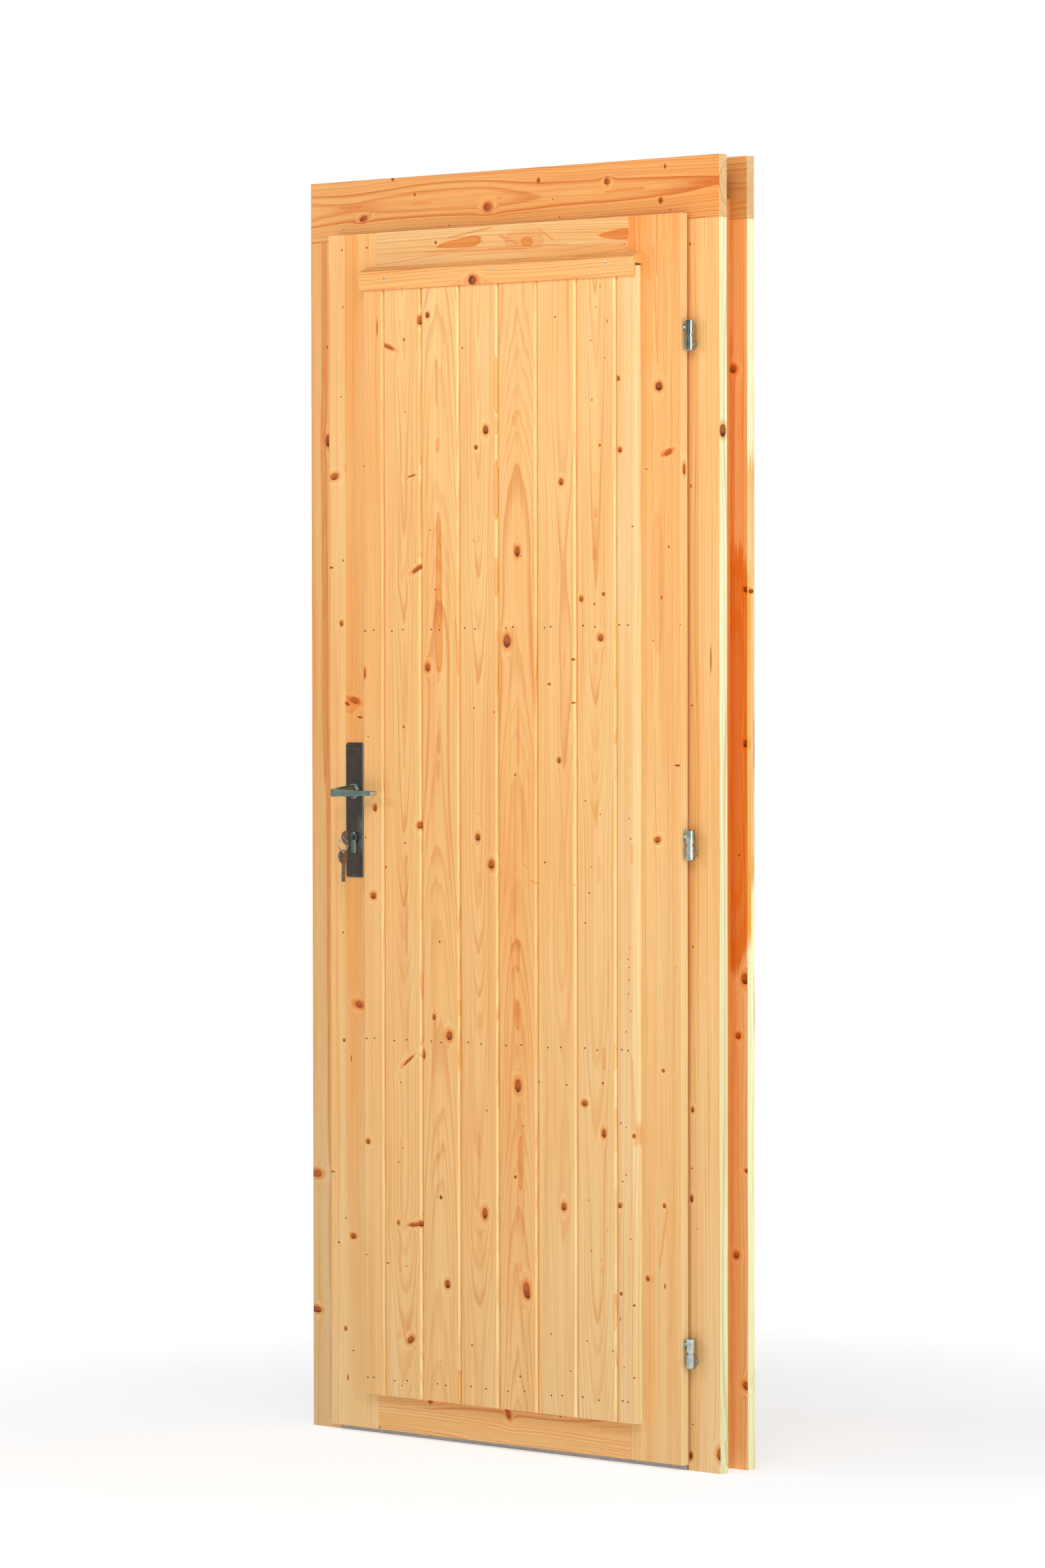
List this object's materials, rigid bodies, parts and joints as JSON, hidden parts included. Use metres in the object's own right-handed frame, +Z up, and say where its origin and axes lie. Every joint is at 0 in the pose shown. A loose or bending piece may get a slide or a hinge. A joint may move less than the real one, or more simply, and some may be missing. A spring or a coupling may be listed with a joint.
{
  "type": "wooden door",
  "caption": "Boarded wooden door leaf on barrel hinges in a casing frame that grips log walls, with lever handles and a lock cylinder holding a key and ring.",
  "frame": {"origin": "middle of the frame's footprint, on the underside of the sill", "axes": "+X towards the hinge side, -Y towards the outside face, +Z up"},
  "size_m": [0.876, 0.141, 1.95],
  "materials": {
    "casing_pine": "oiled pine, weathered orange",
    "core_pine": "oiled pine",
    "leaf_pine": "oiled pine",
    "board_pine": "oiled pine, knotty",
    "bar_pine": "oiled pine",
    "threshold_metal": "satin",
    "hinge_steel": "zinc plated",
    "lock_steel": "satin",
    "plate_bronze": "dark bronze lacquer, semi-gloss",
    "lever_metal": "grey bronze, satin",
    "cylinder_metal": "nickel plated",
    "key_metal": "nickel plated",
    "ring_steel": "polished"
  },
  "bodies": {
    "frame": {"front_casing_left": "casing_pine", "front_casing_right": "casing_pine", "front_casing_head": "casing_pine", "back_casing_left": "casing_pine", "back_casing_right": "casing_pine", "back_casing_head": "casing_pine", "jamb_core_left": "core_pine", "jamb_core_right": "core_pine", "head_core": "core_pine", "sill": "core_pine", "threshold_sheet": "threshold_metal", "strike_plate": "lock_steel", "hinge_frame_top": "hinge_steel", "hinge_frame_middle": "hinge_steel", "hinge_frame_bottom": "hinge_steel"},
    "leaf": {"stile_left": "leaf_pine", "stile_right": "leaf_pine", "top_rail": "leaf_pine", "upper_middle_rail": "leaf_pine", "lower_middle_rail": "leaf_pine", "bottom_rail": "leaf_pine", "board_1": "board_pine", "board_2": "board_pine", "board_3": "board_pine", "board_4": "board_pine", "board_5": "board_pine", "board_6": "board_pine", "board_7": "board_pine", "board_8": "board_pine", "drip_bar": "bar_pine", "hinge_leaf_top": "hinge_steel", "hinge_leaf_middle": "hinge_steel", "hinge_leaf_bottom": "hinge_steel", "lock_case": "lock_steel", "lock_cylinder": "cylinder_metal", "backplate_outside": "plate_bronze", "backplate_inside": "plate_bronze"},
    "handle": {"lever_outside": "lever_metal", "lever_inside": "lever_metal", "spindle": "lock_steel"},
    "key": {"cylinder_plug": "cylinder_metal", "lock_key": "key_metal"},
    "ring": {"key_ring": "ring_steel", "spare_key": "key_metal"}
  },
  "joints": [
    {"name": "door_swing", "type": "hinge", "parent": "frame", "child": "leaf", "pos_m": [0.3895, -0.05, 0.93], "axis": [0, 0, 1], "range_deg": [0, 170]},
    {"name": "lever_turn", "type": "hinge", "parent": "leaf", "child": "handle", "pos_m": [-0.32, -0.037, 1], "axis": [0, 1, 0], "range_deg": [0, 40], "stiffness_Nm_per_rad": 1, "springref_deg": -28.65},
    {"name": "key_turn", "type": "hinge", "parent": "leaf", "child": "key", "pos_m": [-0.32, -0.0615, 0.928], "axis": [0, 1, 0], "range_deg": [0, 90]},
    {"name": "ring_swing", "type": "hinge", "parent": "key", "child": "ring", "pos_m": [-0.32, -0.083, 0.9269], "axis": [1, 0, 0], "range_deg": [-30, 10]}
  ]
}
